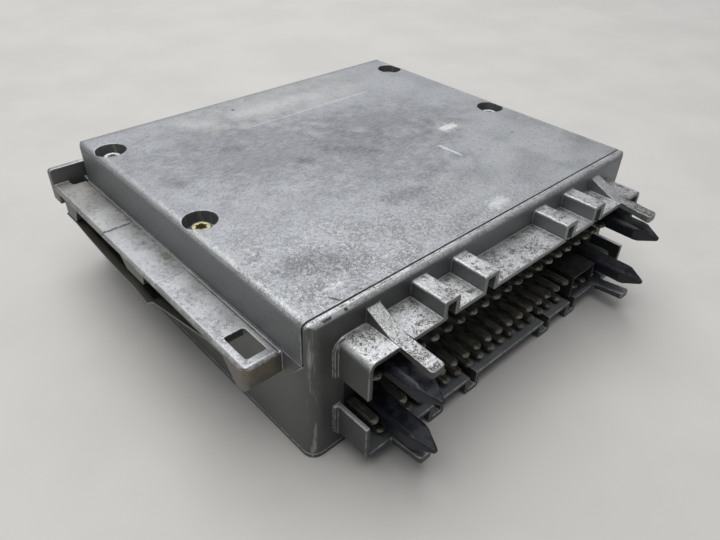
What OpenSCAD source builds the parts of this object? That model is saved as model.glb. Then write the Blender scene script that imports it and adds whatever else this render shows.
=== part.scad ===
// Engine control unit in a die-cast aluminium housing that slides into a rack on two side rails.
// Frame: origin at the centre of the underside, +Z up, connector towards -Y, rails along Y.

/* [Housing] */
// Width of the housing without its rails
body_w = 150; // [140:1:170]
// Depth of the housing from the front wall to the back wall
body_d = 133.5; // [125:0.5:150]
// Height of the housing
body_h = 49.7; // [48:0.1:56]
// Thickness of the side and back walls
wall_t = 2.6; // [2:0.1:3.2]
// Thickness of the front wall, up to the seam with the lid
front_t = 2.8; // [2.4:0.1:3.4]
// Height of the joint between the frame and the lid
split_z = 35.6; // [34:0.1:38]
// Radius of the upright corners
corner_r = 4; // [2:0.1:5]
// Radius of the top edges
top_edge_r = 2.4; // [1.2:0.1:2.8]
// Thickness of the lid's top
lid_t = 2.2; // [1.6:0.1:2.8]
// Gap of the seam between the lid and the front wall
seam_gap = 0.35; // [0.2:0.05:0.6]
// Thickness of the bottom cover
cover_t = 1.8; // [1.4:0.1:2.4]

/* [Screws] */
// Distance of the screw axes from the side of the housing
screw_edge = 6.4; // [6.2:0.1:8]
// Distance of the front pair of lid screws from the front face
lid_screw_front = 58.7; // [52:0.1:64]
// Distance of the rear pair of lid screws from the back face
lid_screw_back = 15.1; // [13:0.1:20]
// Distance of the front pair of cover screws from the front face
cover_screw_front = 13.6; // [13:0.1:18]
// Diameter of the lid and cover screws
screw_d = 3.5; // [3:0.1:4]
// Diameter of the lid screws' heads
screw_head_d = 5.8; // [5.5:0.1:7]
// Height of the lid screws' heads
screw_head_h = 2.4; // [1.8:0.1:2.8]
// Diameter of the counterbores in the lid
counterbore_d = 10.5; // [9:0.1:11]
// Depth of the counterbores
counterbore_depth = 4.7; // [4:0.1:8]
// Length of thread in the frame's bosses
thread_l = 9; // [6:0.5:12]
// Diameter of the frame's bosses
boss_d = 10; // [8:0.1:11]

/* [Contacts] */
// Spacing of the contacts along a row
pin_pitch = 5.5; // [5.2:0.05:5.7]
// Contacts on each side of the middle one in the inner rows
pin_half_count = 11; // [9:1:11]
// Width of a contact blade
blade_w = 3; // [2.2:0.1:3.1]
// Thickness of a contact blade
blade_t = 1.3; // [0.8:0.1:1.4]
// Height of the inner rows above and below the connector's middle
row_inner = 8.6; // [7.6:0.1:9.2]
// Distance between the two rows of a bank
row_gap = 5.8; // [5.2:0.1:6]
// How far the contact tips stand behind the hood's front edge
tip_recess = 2; // [1:0.1:5]

/* [Connector hood] */
// Thickness of the hood's walls
hood_t = 1.5; // [1.1:0.1:1.9]
// Depth of the hood in front of the front wall
hood_l = 12.2; // [9:0.1:15]
// Room between the last contact and the hood's side wall
hood_side_room = 2.8; // [2:0.1:3.4]
// Room between the outer rows and the hood's wall
hood_row_room = 1.55; // [1.5:0.05:2.4]
// Corner radius of the hood
hood_r = 2.6; // [2:0.1:4]
// Outer width of a raised channel
channel_w = 6.4; // [5:0.1:7.5]
// Height of a raised channel over the hood
channel_h = 5.1; // [3.5:0.1:5.4]
// Distance of the inner channels from the middle
channel_x_inner = 20; // [16:0.1:24]
// Distance of the outer channels from the middle
channel_x_outer = 36.6; // [33:0.1:42]
// Height of the lower channels over the surface that the housing stands on
channel_floor_gap = 0.4; // [0.1:0.1:1]
// Half height of the open gap in the hood's side walls
side_gap = 5.6; // [3:0.1:8]
// Height of the raised border round the hood's sides
border_h = 0.9; // [0.4:0.1:1.2]
// Width of that border
border_w = 1.1; // [0.8:0.1:1.6]

/* [Guide fingers] */
// Width of a finger
finger_w = 4.8; // [3.4:0.1:5.4]
// Reach of a finger in front of the front wall
finger_l = 23.2; // [18:0.1:28]
// Thickness of a finger at its end
finger_t = 2.5; // [1.8:0.1:3]
// Height of a finger's root over the hood
finger_root_h = 4.6; // [2.5:0.1:5]
// Distance from the front wall at which the sloping root ends
finger_root_l = 9.5; // [6:0.1:12]
// Corner radius of a finger's end
finger_r = 1.1; // [0.4:0.1:1.6]
// Distance of a finger from the guide peg's middle, towards the connector's middle
finger_offset = 1.2; // [0:0.1:3]

/* [Guide pegs] */
// Width of a peg
peg_w = 7.3; // [6:0.1:7.4]
// Height of a peg
peg_h = 5.6; // [4.6:0.1:5.6]
// Chamfer along a peg's edges
peg_chamfer = 1.3; // [0.6:0.1:2]
// Reach of a peg in front of the front wall
peg_l = 27; // [22:0.1:32]
// Length of a peg's point
peg_point_l = 7.4; // [5:0.1:9]
// Distance of the pegs above and below the connector's middle
peg_dz = 9.3; // [9:0.1:9.4]

/* [Coding collar] */
// Outer width of the collar
collar_w = 14.3; // [14.2:0.1:14.6]
// Outer height of the collar
collar_h = 9.2; // [8.6:0.1:9.6]
// Wall of the collar
collar_t = 0.8; // [0.6:0.1:1]
// Distance that the collar stands behind the hood's front edge
collar_recess = 1.4; // [1:0.1:4]
// Column of contacts next to the collar's left wall, counted from the middle one
collar_column = 7; // [5:1:7]

/* [Header] */
// Thickness of the header's flange behind the front wall
flange_t = 4; // [3:0.1:4.2]
// Overlap of the flange behind the front wall
flange_lap = 1.9; // [1.2:0.1:2]
// Distance of the header's face behind the front face
header_recess = 0.4; // [0.2:0.1:1]
// Clearance round contacts, pegs and the header in their holes
fit = 0.1; // [0.05:0.05:0.2]

/* [Rails] */
// Depth of the rails' raised pads under the joint
rail_drop = 0.2; // [0.1:0.05:0.5]
// Width of a rail
rail_w = 11.6; // [10.4:0.1:13]
// Thickness of a rail
rail_t = 2.7; // [2:0.1:3.5]
// Distance of a rail's front end behind the front face
rail_front = 11.4; // [8:0.1:16]
// Chamfer of a rail's outer edges
rail_chamfer = 0.8; // [0.5:0.1:1]
// Radius of the round corners at a rail's front end
rail_r = 2.4; // [1.4:0.1:3]
// Length of the front raised pad
pad_front_l = 46.1; // [40:0.1:50]
// Length of the lower middle stretch
pad_gap_l = 35.5; // [28:0.1:40]
// Height of the raised pads
pad_h = 0.45; // [0.2:0.05:0.7]
// Distance of the pads from the side wall
pad_in = 0.9; // [0.5:0.1:1.4]
// Corner radius of the pads and the pocket
pad_r = 1.4; // [0.6:0.1:2]
// Height of the block at the rail's front end
block_h = 8.8; // [7:0.1:10]
// Length of that block's flat underside
block_l = 5; // [4:0.1:7]
// Length of the slope behind it
block_slope_l = 5.2; // [3:0.1:7]
// Length of the pocket through the block and the rail
pocket_l = 10.5; // [8:0.1:11]
// Width of the pocket
pocket_w = 6.2; // [5:0.1:7]
// Distance of the pocket from the side wall
pocket_in = 2.5; // [1.5:0.1:3]
// Wall in front of the pocket
pocket_wall = 3.2; // [2:0.1:3.5]
// Height of the lip at the rail's back end
lip_h = 6; // [3:0.1:8]
// Thickness of the lip
lip_t = 2.2; // [1.5:0.1:3]
// Length of the notch in front of the lip
notch_l = 3.8; // [2.5:0.1:5]
// Width of the notch next to the side wall
notch_w = 5.8; // [4:0.1:7]
// Thickness of the floor under the notch
notch_floor = 1.2; // [0.8:0.1:2]
// Height of the block under the lip
end_block_h = 6; // [4:0.1:8]

/* [Leaf springs] */
// Thickness of the spring strip
spring_t = 0.6; // [0.4:0.1:1]
// Width of the spring strip
spring_w = 9; // [6:0.1:9.4]
// Distance of the strip's outer edge from the rail's outer edge
spring_inset = 0.6; // [0.3:0.1:1.2]
// Distance of the strip's front end behind the pocket
spring_gap = 1; // [0.6:0.1:4]
// Length of the strip's flat seat under the front of the rail
spring_seat_l = 4; // [3:0.1:6]
// Height of the strip's lowest bend
spring_low_z = 20.8; // [19:0.1:23]
// Distance of the lowest bend behind the rail's front end
spring_low_l = 57; // [52:0.1:62]
// Depth of the step just in front of the lowest bend
spring_step = 3.7; // [2:0.1:5]
// Length of that step
spring_step_l = 5; // [3:0.1:8]
// Distance of the bow's start behind the lowest bend
bow_l = 9; // [6:0.1:12]
// Height of the bow's start over the lowest bend
bow_h = 1.8; // [1:0.1:3]
// Height of the middle boss under the rail
mid_boss_h = 4.6; // [3:0.1:6]
// Length of the middle boss
mid_boss_l = 11; // [8:0.1:14]
// Height of the foot that the strip's back end bears on
foot_h = 6.6; // [5:0.1:8]
// Length of the foot
foot_l = 7.5; // [5:0.1:9]
// Distance of the foot from the rail's back end
foot_back = 8.3; // [7:0.1:12]

/* [Boards] */
// Thickness of the printed boards
board_t = 1.6; // [1.2:0.1:2]
// Clearance between a board's edge and the walls
board_gap = 0.5; // [0.3:0.1:1]
// Height of the lower board over the bottom cover
lower_board_lift = 2.7; // [2.4:0.1:3.2]
// Height of the upper board's underside over the connector's middle
upper_board_lift = 1.8; // [1:0.1:2.4]
// Distance of the boards behind the header
board_front_gap = 1.2; // [0.6:0.1:2]
// Distance of the upper board's back edge from the back face
upper_board_back = 10; // [9:0.1:14]
// Diameter of the board screws
board_screw_d = 3; // [2.5:0.1:3]
// Distance of the first board screws from the front face
board_screw_front = 34; // [30:0.1:38]
// Distance of the last board screws from the back face
board_screw_back = 41.5; // [38:0.1:46]
// Length of the contacts' tails under a board
tail_l = 1.2; // [0.8:0.1:1.6]

/* [Components] */
// Number of power transistors along the back wall
transistor_count = 6; // [2:2:6]
// Spacing of the power transistors
transistor_pitch = 17; // [16.6:0.1:18]
// Width of a power transistor
transistor_w = 10; // [9:0.1:10.4]
// Thickness of a power transistor
transistor_t = 4.5; // [4:0.1:5]
// Height of a power transistor's moulded body
transistor_h = 9; // [8:0.1:10]
// Length of a power transistor's legs over the board
leg_l = 4.6; // [3:0.1:5]
// Thickness of the clamp bar
clamp_t = 1.2; // [0.8:0.1:1.6]
// Side of the microcontroller's square body
chip_side = 24; // [20:0.5:25]
// Height of the microcontroller's body
chip_h = 3.4; // [2:0.1:4]
// Distance of the microcontroller to the left of the middle
chip_left = 26; // [24:0.5:30]
// Spacing of the microcontroller's leads
lead_pitch = 1.27; // [1.1:0.01:1.5]
// Spacing of the legs of the other chips and of the transistors
leg_pitch = 2.54; // [2.2:0.01:2.6]
// Width of the program memory
memory_w = 14.6; // [13:0.1:16]
// Length of the program memory
memory_l = 36; // [34:0.1:37]
// Height of the program memory's body
memory_h = 3.8; // [2.5:0.1:4]
// Legs on each side of the program memory
memory_legs = 14; // [10:1:14]
// Distance of the memory's socket to the right of the middle
socket_right = 22; // [20:0.5:24]
// Distance of the middle of the memory's socket from the front face
socket_y = 76; // [70:0.5:80]
// Spacing of the small chips along the lower board
support_pitch = 22; // [20:0.5:24]
// Width of a small chip
support_w = 7.6; // [6:0.1:8]
// Length of a small chip
support_l = 19; // [18:0.1:20]
// Height of a small chip's body
support_h = 3.4; // [2:0.1:4]
// Legs on each side of a small chip
support_legs = 7; // [4:1:7]
// Distance of the small chips behind the first board screws
support_back = 5; // [3:0.5:6]
// Distance of the capacitors to the right of the middle
cap_right = 44; // [42:0.5:48]
// Gap between two capacitors
cap_gap = 2; // [1:0.5:4]
// Distance of the middle capacitor behind the middle of the housing
cap_back = 12; // [8:0.5:16]
// Diameter of the electrolytic capacitors
cap_d = 10; // [8:0.5:12.5]
// Height of the electrolytic capacitors
cap_h = 15; // [10:0.5:16]

/* [Hidden] */
$fn = 48;
cut = 1;

// Housing
half_w = body_w / 2;
inner_half_w = half_w - wall_t;
inner_back = body_d - wall_t;
screw_x = half_w - screw_edge;
lid_screw_y = [lid_screw_front, body_d - lid_screw_back];
cover_screw_y = [cover_screw_front, body_d - lid_screw_back];
seat_z = body_h - counterbore_depth;
boss_r = boss_d / 2;
short_boss_h = thread_l + 2.5;

// Connector
row_outer = row_inner + row_gap;
hood_half_w = pin_half_count * pin_pitch + blade_w / 2 + hood_side_room + hood_t;
hood_half_h = row_outer + blade_t / 2 + hood_row_room + hood_t;
conn_z = channel_floor_gap + channel_h + hood_half_h;
tip_y = -hood_l + tip_recess;
peg_column = pin_half_count - 1;
peg_x = peg_column * pin_pitch;
finger_x = peg_x - finger_offset;
window_half_w = hood_half_w - hood_t - hood_side_room / 2;
window_half_h = row_outer + blade_t / 2 + 0.8 * hood_row_room;
header_back = front_t + flange_t;
collar_x = (collar_column + 0.75) * pin_pitch;
collar_low_z = conn_z - window_half_h + 2 * fit;
blade_tip = 0.35 * blade_w;
neck_w = 1.2;
bend_gap = 4;

// Rails and springs
lip_y = body_d + fit;
rail_end = lip_y + lip_t;
rail_top = split_z - rail_drop;
rail_low = rail_top - rail_t;
pad_front_end = rail_front + pad_front_l;
pad_back_start = pad_front_end + pad_gap_l;
spring_half_t = spring_t / 2;
pocket_start = rail_front + pocket_wall;
pocket_end = pocket_start + pocket_l;
spring_start = pocket_end + spring_gap;
spring_low_y = rail_front + spring_low_l;
notch_start = lip_y - notch_l;
foot_end = rail_end - foot_back;
foot_z = rail_low - foot_h;

// Boards
lower_board_z = cover_t + lower_board_lift;
upper_board_z = conn_z + upper_board_lift;
board_front = header_back + board_front_gap;
board_half_w = inner_half_w - board_gap;
board_screw_y = [board_screw_front, body_d - board_screw_back];
board_screw_r = board_screw_d / 2;
board_screw_x = screw_x - 3;
lug_h = 7;
lug_w = 9;
board_head_h = 2;
upper_top = upper_board_z + board_t;
lower_top = lower_board_z + board_t;
transistor_z = lower_top + leg_l;
clamp_h = 5;
clamp_boss_r = (transistor_pitch - transistor_w) / 2 - 0.4;
clamp_y = inner_back - transistor_t;

// Columns of the four rows of contacts, counted in pitches from the middle
inner_columns = [for (k = [-pin_half_count : pin_half_count]) if (abs(k) != peg_column) k];
collar_skip = collar_column + 2;
lower_inner_columns = [for (k = inner_columns) if (k != collar_skip) k];
outer_columns = [for (k = [-pin_half_count : pin_half_count - 1]) k + 0.5];
lower_outer_columns = [for (k = outer_columns) if (k != collar_column - 0.5) k];

// Moves children from the front face's own zero to the frame's origin
module from_front() {
    translate([0, -body_d / 2, 0]) children();
}

// Extrudes a profile drawn in X and Z along Y
module along_y(y0, y1) {
    translate([0, y1, 0]) rotate([90, 0, 0]) linear_extrude(y1 - y0) children();
}

// Extrudes a profile drawn in Y and Z along X
module along_x(x0, x1) {
    translate([x0, 0, 0]) rotate([90, 0, 90]) linear_extrude(x1 - x0) children();
}

// Extrudes a profile drawn in X and Y along Z
module along_z(z0, z1) {
    translate([0, 0, z0]) linear_extrude(z1 - z0) children();
}

// Box from its lowest corner to its highest corner
module span(low, high) {
    translate(low) cube(high - low);
}

// Circle round a point
module circle_at(m, r) {
    translate(m) circle(r);
}

// Rectangle with four round corners
module round_rect(low, high, r) {
    translate([low.x + r, low.y]) square([high.x - low.x - 2 * r, high.y - low.y]);
    translate([low.x, low.y + r]) square([high.x - low.x, high.y - low.y - 2 * r]);
    for (x = [low.x + r, high.x - r], y = [low.y + r, high.y - r]) circle_at([x, y], r);
}

// Waste of a corner that becomes round: m is the arc's middle and d the way to the corner
module corner_waste(m, d, r) {
    difference() {
        polygon([m, m + [2 * r * d.x, 0], m + 2 * r * d, m + [0, 2 * r * d.y]]);
        circle_at(m, r);
    }
}

// Rectangle with two round corners at its top
module round_top(x0, x1, h, r) {
    translate([x0, 0]) square([x1 - x0, h - r]);
    translate([x0 + r, 0]) square([x1 - x0 - 2 * r, h]);
    for (x = [x0 + r, x1 - r]) circle_at([x, h - r], r);
}

// Repeats children on both sides of the housing
module both_sides() {
    for (side = [0, 1]) mirror([side, 0, 0]) children();
}

// Outer form shared by the frame, the lid and the bottom cover
module envelope() {
    intersection() {
        along_z(0, body_h) round_rect([-half_w, 0], [half_w, body_d], corner_r);
        along_y(-cut, body_d + cut) round_top(-half_w, half_w, body_h, top_edge_r);
        along_x(-half_w - cut, half_w + cut) round_top(0, body_d, body_h, top_edge_r);
    }
}

// Space inside the housing
module cavity() {
    inner_r = 1.2;
    along_z(-cut, body_h - lid_t)
        round_rect([-inner_half_w, front_t], [inner_half_w, inner_back], inner_r);
}

// Castellated outline of the hood, grown outwards
module hood_outline(grow) {
    r = hood_r + grow;
    w = hood_half_w + grow;
    h = hood_half_h + grow;
    channel_half = channel_w / 2 + grow;
    channel_r = max(0.3, 0.9 + grow);
    round_rect([-w, conn_z - h], [w, conn_z + h], r);
    for (x = [-channel_x_outer, -channel_x_inner, channel_x_inner, channel_x_outer]) {
        low = [x - channel_half, conn_z - h - channel_h];
        high = [x + channel_half, conn_z + h + channel_h];
        round_rect(low, high, channel_r);
    }
}

// Hood round the contacts, open at its front and in the middle of its sides
module hood() {
    border_half_w = hood_half_w + border_w;
    difference() {
        union() {
            along_y(-hood_l, front_t / 2) hood_outline(0);
            along_y(-border_h, front_t / 2) round_rect([-border_half_w, conn_z - hood_half_h],
                [border_half_w, conn_z + hood_half_h], hood_r + border_w);
        }
        along_y(-hood_l - cut, front_t) hood_outline(-hood_t);
        span([-half_w, -hood_l - cut, conn_z - side_gap], [half_w, 0, conn_z + side_gap]);
    }
}

// One guide finger with its sloping root, over the hood
module finger() {
    root_end = hood_half_h + 0.3;
    end_top = root_end - 0.7;
    profile = [
        [front_t / 2, hood_half_h - hood_t], [front_t / 2, hood_half_h + finger_root_h],
        [0, hood_half_h + finger_root_h], [-finger_root_l, root_end],
        [-finger_l, end_top], [-finger_l, end_top - finger_t], [-hood_l, hood_half_h - hood_t]
    ];
    side = finger_w / 2;
    arc_y = -finger_l + finger_r;
    intersection() {
        along_x(finger_x - side, finger_x + side) polygon(profile);
        along_z(0, 2 * hood_half_h) translate([finger_x, 0]) {
            translate([-side, arc_y]) square([finger_w, finger_l + front_t]);
            translate([finger_r - side, -finger_l]) square([finger_w - 2 * finger_r, finger_l]);
            for (x = [finger_r - side, side - finger_r]) circle_at([x, arc_y], finger_r);
        }
    }
}

// Four guide fingers
module fingers() {
    both_sides() for (up = [0, 1]) translate([0, 0, conn_z]) mirror([0, 0, up]) finger();
}

// Cross-section of a rail with chamfered outer edges
module rail_section(top) {
    out = half_w + rail_w;
    polygon([
        [half_w - wall_t / 2, rail_low], [out - rail_chamfer, rail_low], [out, rail_low + rail_chamfer],
        [out, top - rail_chamfer], [out - rail_chamfer, top], [half_w - wall_t / 2, top]
    ]);
}

// Plan of a rail with a round corner at its front end
module rail_plan() {
    out = half_w + rail_w;
    difference() {
        translate([half_w - corner_r, rail_front]) square([rail_w + corner_r, rail_end - rail_front]);
        corner_waste([out - rail_r, rail_front + rail_r], [1, -1], rail_r);
    }
}

// Plan of a raised pad, with a round corner at the end that faces the lower stretch
module pad_plan(y0, y1, corner_y, d) {
    inner = half_w + pad_in;
    difference() {
        translate([inner, y0]) square([rail_w, y1 - y0]);
        corner_waste([inner + pad_r, corner_y - d * pad_r], [-1, d], pad_r);
    }
}

// Side view of the block at a rail's front end, which runs out at the top of the rail's lower chamfer
module block_profile() {
    low = rail_top - block_h;
    high = rail_low + rail_chamfer;
    slope_start = rail_front + block_l;
    difference() {
        polygon([
            [rail_front, low], [slope_start, low], [slope_start + block_slope_l, high], [rail_front, high]
        ]);
        corner_waste([rail_front + rail_r, low + rail_r], [-1, -1], rail_r);
    }
}

// Upright lip across a rail's back end
module lip() {
    out = half_w + rail_w;
    top = rail_top + lip_h;
    inner = half_w - corner_r;
    along_y(lip_y, rail_end) difference() {
        translate([inner, rail_low]) square([out - inner, top - rail_low]);
        corner_waste([out - pad_r, top - pad_r], [1, 1], pad_r);
    }
}

// One slide rail on the right-hand side, with its pads, blocks, feet and lip
module rail() {
    out = half_w + rail_w;
    inner = half_w - wall_t / 2;
    boss_start = pad_front_end + mid_boss_l;
    boss_end = boss_start + mid_boss_l;
    boss_draft = 1;
    boss_slope = 5;
    foot_slope = 3;
    root_z = rail_low + rail_t / 4;
    boss_profile = [
        [boss_start - boss_draft, root_z], [boss_start, rail_low - mid_boss_h],
        [boss_end, rail_low - mid_boss_h], [boss_end + boss_slope, root_z]
    ];
    foot_profile = [
        [foot_end - foot_l - foot_slope, root_z], [foot_end - foot_l, foot_z],
        [foot_end, foot_z], [foot_end, root_z]
    ];
    end_low = rail_top - end_block_h;
    difference() {
        union() {
            intersection() {
                union() {
                    along_y(rail_front, rail_end) rail_section(rail_top - pad_h);
                    intersection() {
                        along_y(rail_front, rail_end) rail_section(rail_top);
                        along_z(rail_low, rail_top) {
                            pad_plan(rail_front, pad_front_end, pad_front_end, 1);
                            pad_plan(pad_back_start, rail_end, pad_back_start, -1);
                        }
                    }
                    along_x(inner, out) block_profile();
                }
                along_z(rail_top - block_h, rail_top) rail_plan();
            }
            along_x(half_w + 1, out - rail_chamfer) polygon(boss_profile);
            along_x(half_w + 1, out - rail_chamfer) polygon(foot_profile);
            span([inner, notch_start, end_low], [out, rail_end, rail_top - rail_chamfer]);
            span([half_w - corner_r, body_d - wall_t / 2, end_low], [half_w, rail_end, rail_top]);
            lip();
        }
        along_z(rail_top - block_h - cut, rail_top + cut) round_rect([half_w + pocket_in, pocket_start],
            [half_w + pocket_in + pocket_w, pocket_end], pad_r / 2);
        along_z(end_low + notch_floor, rail_top + cut) difference() {
            translate([half_w, notch_start]) square([notch_w, notch_l]);
            corner_waste([half_w + notch_w - pad_r, notch_start + pad_r], [1, -1], pad_r);
        }
        along_x(half_w - wall_t, out + cut) polygon([
            [rail_front - cut, rail_top - rail_chamfer - cut],
            [rail_front + rail_chamfer + cut, rail_top + cut],
            [rail_front - cut, rail_top + cut]
        ]);
    }
}

// Lugs in the frame that carry the upper board
module board_lugs() {
    both_sides() for (y = board_screw_y)
        span([board_screw_x - lug_w / 2, y - lug_w / 2, upper_board_z - lug_h],
            [half_w - wall_t / 2, y + lug_w / 2, upper_board_z]);
}

// Bosses on the back wall for the clamp's screws
module clamp_bosses() {
    for (x = clamp_screw_x()) translate([x, clamp_y, clamp_z()]) rotate([-90, 0, 0])
        cylinder(h = transistor_t + wall_t / 2, r = clamp_boss_r);
}

// Places of the clamp's screws, midway between transistors
function clamp_screw_x() = [for (k = [-1, 1]) k * transistor_pitch * (transistor_count / 2 - 1)];
function clamp_z() = transistor_z + transistor_h / 2;

// Frame with the front wall, the hood, the side and back walls and the rails
module frame_casting() {
    color("darkgray") from_front() difference() {
        union() {
            difference() {
                intersection() {
                    envelope();
                    union() {
                        span([-body_w, -cut, cover_t], [body_w, body_d + cut, split_z]);
                        span([-body_w, -cut, cover_t], [body_w, front_t, body_h + cut]);
                    }
                }
                cavity();
            }
            hood();
            fingers();
            both_sides() rail();
            both_sides() for (y = lid_screw_y)
                translate([screw_x, y, cover_t]) cylinder(h = split_z - cover_t, r = boss_r);
            both_sides() translate([screw_x, cover_screw_front, cover_t])
                cylinder(h = short_boss_h, r = boss_r);
            board_lugs();
            clamp_bosses();
        }
        span([-body_w, 0, -cut], [body_w, body_d, cover_t]);
        span([-window_half_w, -cut, conn_z - window_half_h],
            [window_half_w, front_t + cut, conn_z + window_half_h]);
        both_sides() for (y = lid_screw_y)
            translate([screw_x, y, split_z - thread_l]) cylinder(h = thread_l + cut, r = screw_d / 2);
        both_sides() for (y = cover_screw_y)
            translate([screw_x, y, cover_t - cut]) cylinder(h = thread_l + cut, r = screw_d / 2);
        both_sides() for (y = board_screw_y)
            translate([board_screw_x, y, upper_board_z - lug_h + 1]) cylinder(h = lug_h, r = board_screw_r);
        for (x = clamp_screw_x())
            translate([x, clamp_y - cut, clamp_z()]) rotate([-90, 0, 0])
                cylinder(h = transistor_t + cut, r = board_screw_r);
    }
}

// Lid: an inverted tray, open at the front, with counterbored bosses
module lid() {
    boss_wall = 1.6;
    color("silver") from_front() difference() {
        intersection() {
            envelope();
            span([-body_w, front_t + seam_gap, split_z], [body_w, body_d + cut, body_h + cut]);
            union() {
                difference() {
                    span([-body_w, -cut, 0], [body_w, body_d + cut, body_h + cut]);
                    cavity();
                }
                both_sides() for (y = lid_screw_y)
                    translate([screw_x, y, split_z - cut])
                        cylinder(h = body_h, r = counterbore_d / 2 + boss_wall);
            }
        }
        both_sides() for (y = lid_screw_y) {
            translate([screw_x, y, seat_z]) cylinder(h = body_h, r = counterbore_d / 2);
            translate([screw_x, y, split_z - cut]) cylinder(h = body_h, r = screw_d / 2 + fit);
        }
    }
}

// Depth of the flat heads of the cover screws
function flat_head_h() = cover_t - 0.5;
function flat_head_r() = screw_d / 2 + flat_head_h();

// Bottom cover with its countersunk holes and the lower board's standoffs
module bottom_cover() {
    standoff_r = 3.4;
    color("gray") from_front() difference() {
        union() {
            along_z(0, cover_t) round_rect([-half_w, 0], [half_w, body_d], corner_r);
            both_sides() for (y = board_screw_y)
                translate([board_screw_x, y, 0]) cylinder(h = lower_board_z, r = standoff_r);
        }
        both_sides() for (y = cover_screw_y) translate([screw_x, y, 0]) {
            translate([0, 0, -cut]) cylinder(h = cover_t + 2 * cut, r = screw_d / 2 + fit);
            translate([0, 0, -cut]) cylinder(h = cut, r = flat_head_r() + fit);
            cylinder(h = flat_head_h(), r1 = flat_head_r() + fit, r2 = screw_d / 2 + fit);
        }
        both_sides() for (y = board_screw_y)
            translate([board_screw_x, y, 0.8]) cylinder(h = lower_board_z, r = board_screw_r);
    }
}

// Six-lobe recess in a screw's head
module lobe_recess(r, depth) {
    translate([0, 0, -depth]) {
        cylinder(h = depth + cut, r = 0.72 * r);
        for (a = [0 : 60 : 300]) rotate([0, 0, a]) translate([0.72 * r, 0, 0])
            cylinder(h = depth + cut, r = 0.28 * r, $fn = 16);
    }
}

// Four lid screws
module lid_screws() {
    lobe_r = 0.3 * screw_head_d;
    color("goldenrod") from_front() both_sides() for (y = lid_screw_y) translate([screw_x, y, seat_z]) {
        difference() {
            cylinder(h = screw_head_h, r = screw_head_d / 2);
            translate([0, 0, screw_head_h]) lobe_recess(lobe_r, 0.7 * screw_head_h);
        }
        shank_l = seat_z - split_z + thread_l - 1;
        translate([0, 0, -shank_l]) cylinder(h = shank_l, r = screw_d / 2);
    }
}

// Four countersunk screws of the bottom cover
module cover_screws() {
    color("goldenrod") from_front() both_sides() for (y = cover_screw_y) translate([screw_x, y, 0])
        difference() {
            union() {
                cylinder(h = flat_head_h(), r1 = flat_head_r(), r2 = screw_d / 2);
                cylinder(h = cover_t + thread_l - 1, r = screw_d / 2);
            }
            rotate([180, 0, 0]) lobe_recess(0.3 * screw_head_d, 0.8 * flat_head_h());
        }
}

// Height of a row: bank is 1 above and -1 below the connector's middle
function row_z(bank, offset) = conn_z + bank * offset;

// One contact: a blade with a round, chamfered nose, a neck and a tail down through its board
module contact(x, z, bend_y, board_z) {
    half_w = blade_w / 2;
    half_t = blade_t / 2;
    half_neck = neck_w / 2;
    edge = half_t / 2;
    shoulder = tip_y + blade_tip;
    nose_y = tip_y + half_w;
    translate([x, 0, z]) {
        intersection() {
            along_z(-half_t, half_t) {
                translate([-half_w, nose_y]) square([blade_w, header_back - nose_y]);
                circle_at([0, nose_y], half_w);
            }
            along_x(-half_w, half_w) polygon([
                [header_back, -half_t], [shoulder, -half_t], [tip_y, -edge],
                [tip_y, edge], [shoulder, half_t], [header_back, half_t]
            ]);
        }
        span([-half_neck, header_back - cut, -half_t], [half_neck, bend_y + blade_t, half_t]);
        span([-half_neck, bend_y, board_z - tail_l - z], [half_neck, bend_y + blade_t, 0]);
    }
}

// Distance of a row's bend: the row that lies higher bends further back
function bend_near() = board_front + 3;
function bend_far() = bend_near() + bend_gap;

// Contacts of the upper bank
module contact_pins_upper() {
    color("darkkhaki") from_front() {
        for (k = outer_columns) contact(k * pin_pitch, row_z(1, row_outer), bend_far(), upper_board_z);
        for (k = inner_columns) contact(k * pin_pitch, row_z(1, row_inner), bend_near(), upper_board_z);
    }
}

// Contacts of the lower bank
module contact_pins_lower() {
    color("darkkhaki") from_front() {
        for (k = lower_inner_columns) contact(k * pin_pitch, row_z(-1, row_inner), bend_far(), lower_board_z);
        for (k = lower_outer_columns)
            contact(k * pin_pitch, row_z(-1, row_outer), bend_near(), lower_board_z);
    }
}

// Slots of one row of contacts in the header
module blade_slots(columns, z) {
    w = blade_w + 2 * fit;
    t = blade_t + 2 * fit;
    for (k = columns) translate([k * pin_pitch, 0, z])
        span([-w / 2, header_recess - cut, -t / 2], [w / 2, header_back + cut, t / 2]);
}

// Plastic header behind the hood, with the coding collar round a few contacts
module pin_header() {
    w = window_half_w - fit;
    h = window_half_h - fit;
    collar_low = [collar_x - collar_w / 2, -hood_l + collar_recess, collar_low_z];
    collar_high = [collar_x + collar_w / 2, header_recess + cut, collar_low_z + collar_h];
    collar_wall = [collar_t, 0, collar_t];
    color("dimgray") from_front() difference() {
        union() {
            span([-w, header_recess, conn_z - h], [w, front_t + cut, conn_z + h]);
            span([-window_half_w - flange_lap, front_t, conn_z - window_half_h - flange_lap],
                [window_half_w + flange_lap, header_back, conn_z + window_half_h + flange_lap]);
            difference() {
                span(collar_low, collar_high);
                span(collar_low + collar_wall - [0, cut, 0], collar_high - collar_wall + [0, cut, 0]);
            }
        }
        blade_slots(outer_columns, row_z(1, row_outer));
        blade_slots(inner_columns, row_z(1, row_inner));
        blade_slots(lower_inner_columns, row_z(-1, row_inner));
        blade_slots(lower_outer_columns, row_z(-1, row_outer));
        both_sides() for (bank = [-1, 1]) translate([peg_x, 0, row_z(bank, peg_dz)])
            span([-peg_w / 2 - fit, 0, -peg_h / 2 - fit], [peg_w / 2 + fit, front_t, peg_h / 2 + fit]);
    }
}

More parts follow.
